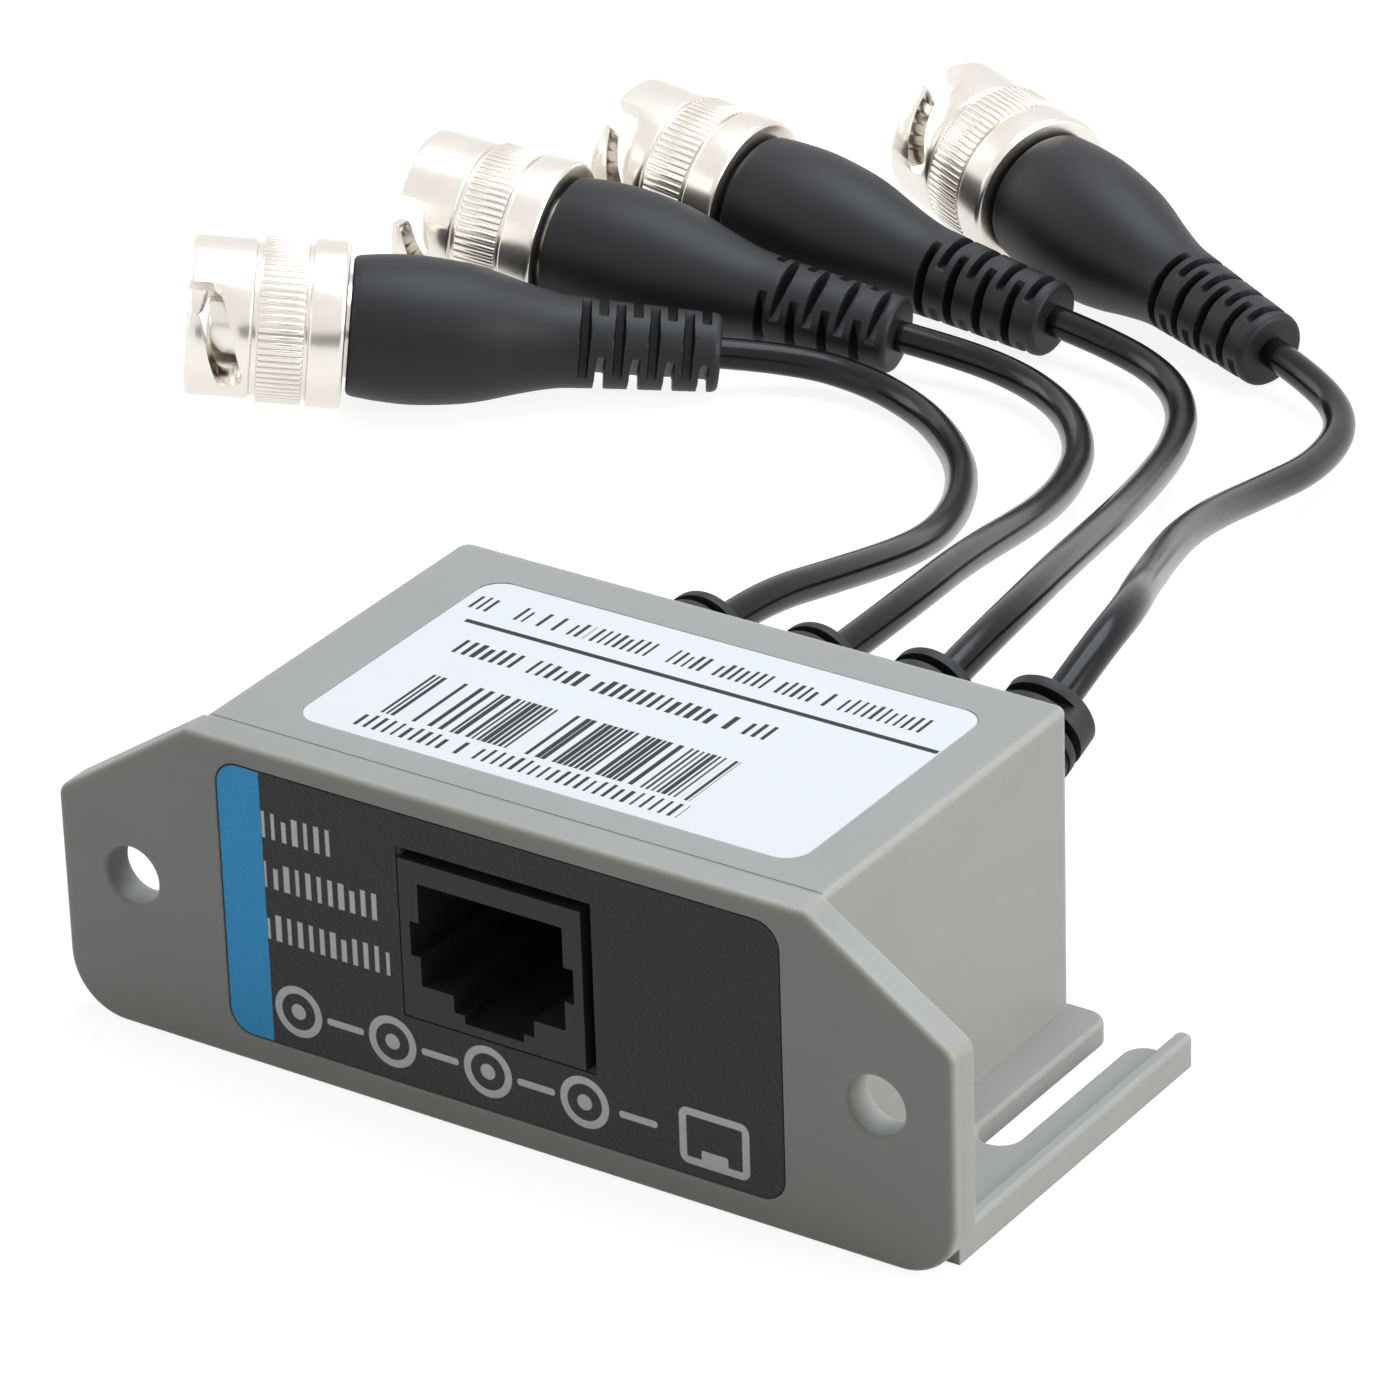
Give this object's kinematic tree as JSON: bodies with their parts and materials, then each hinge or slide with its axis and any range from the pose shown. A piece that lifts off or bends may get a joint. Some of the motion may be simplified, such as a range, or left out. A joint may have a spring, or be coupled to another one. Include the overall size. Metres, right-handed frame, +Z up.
{
  "type": "cctv video balun",
  "caption": "Passive video balun: grey moulded box with an eared front plate and network socket, trailing short coax cables that end in bayonet plugs.",
  "frame": {"origin": "centre of the housing's footprint, on the surface that it stands on", "axes": "+X along the front plate's width, +Y from the socket towards the cables, +Z up"},
  "size_m": [0.1327, 0.1563, 0.0258],
  "materials": {
    "housing_plastic": "satin moulded, fine texture",
    "screw_steel": "zinc plated",
    "front_label_print": "printed film, fine texture",
    "top_label_print": "printed paper, satin",
    "socket_plastic": "satin moulded",
    "contact_metal": "gold plated",
    "board_laminate": "solder mask",
    "ferrite": "matte ceramic",
    "winding_wire": "enamelled copper",
    "cable_jacket": "glossy extruded",
    "relief_rubber": "matte moulded",
    "boot_rubber": "matte moulded, soft sheen",
    "nickel_plate": "bright nickel plated",
    "insulator_plastic": "white polymer",
    "gasket_rubber": "silicone"
  },
  "bodies": {
    "balun": {"housing_shell": "housing_plastic", "bottom_cover": "housing_plastic", "cover_screws": "screw_steel", "front_label": "front_label_print", "top_label": "top_label_print", "rj45_jack": "socket_plastic", "rj45_contacts": "contact_metal", "circuit_board": "board_laminate", "balun_core_1": "ferrite", "balun_winding_1": "winding_wire", "cable_tail_1": "cable_jacket", "strain_relief_1": "relief_rubber", "cable_1": "cable_jacket", "plug_shell_1": "nickel_plate", "plug_insulator_1": "insulator_plastic", "center_pin_1": "contact_metal", "spring_washer_1": "nickel_plate", "gasket_1": "gasket_rubber", "plug_boot_1": "boot_rubber", "balun_core_2": "ferrite", "balun_winding_2": "winding_wire", "cable_tail_2": "cable_jacket", "strain_relief_2": "relief_rubber", "cable_2": "cable_jacket", "plug_shell_2": "nickel_plate", "plug_insulator_2": "insulator_plastic", "center_pin_2": "contact_metal", "spring_washer_2": "nickel_plate", "gasket_2": "gasket_rubber", "plug_boot_2": "boot_rubber", "balun_core_3": "ferrite", "balun_winding_3": "winding_wire", "cable_tail_3": "cable_jacket", "strain_relief_3": "relief_rubber", "cable_3": "cable_jacket", "plug_shell_3": "nickel_plate", "plug_insulator_3": "insulator_plastic", "center_pin_3": "contact_metal", "spring_washer_3": "nickel_plate", "gasket_3": "gasket_rubber", "plug_boot_3": "boot_rubber", "balun_core_4": "ferrite", "balun_winding_4": "winding_wire", "cable_tail_4": "cable_jacket", "strain_relief_4": "relief_rubber", "cable_4": "cable_jacket", "plug_shell_4": "nickel_plate", "plug_insulator_4": "insulator_plastic", "center_pin_4": "contact_metal", "spring_washer_4": "nickel_plate", "gasket_4": "gasket_rubber", "plug_boot_4": "boot_rubber"},
    "nut_1": {"coupling_nut_1": "nickel_plate"},
    "nut_2": {"coupling_nut_2": "nickel_plate"},
    "nut_3": {"coupling_nut_3": "nickel_plate"},
    "nut_4": {"coupling_nut_4": "nickel_plate"}
  },
  "joints": [
    {"name": "nut_1_turn", "type": "hinge", "parent": "balun", "child": "nut_1", "pos_m": [-0.08555, 0.07256, 0.00778], "axis": [0.8235, 0.5555, -0.1149], "continuous": true},
    {"name": "nut_2_turn", "type": "hinge", "parent": "balun", "child": "nut_2", "pos_m": [-0.08019, 0.09804, 0.00778], "axis": [0.9811, 0.1554, -0.1149], "continuous": true},
    {"name": "nut_3_turn", "type": "hinge", "parent": "balun", "child": "nut_3", "pos_m": [-0.0709, 0.11506, 0.00778], "axis": [0.992, -0.052, -0.1149], "continuous": true},
    {"name": "nut_4_turn", "type": "hinge", "parent": "balun", "child": "nut_4", "pos_m": [-0.04946, 0.13032, 0.00778], "axis": [0.9274, -0.356, -0.1149], "continuous": true}
  ]
}
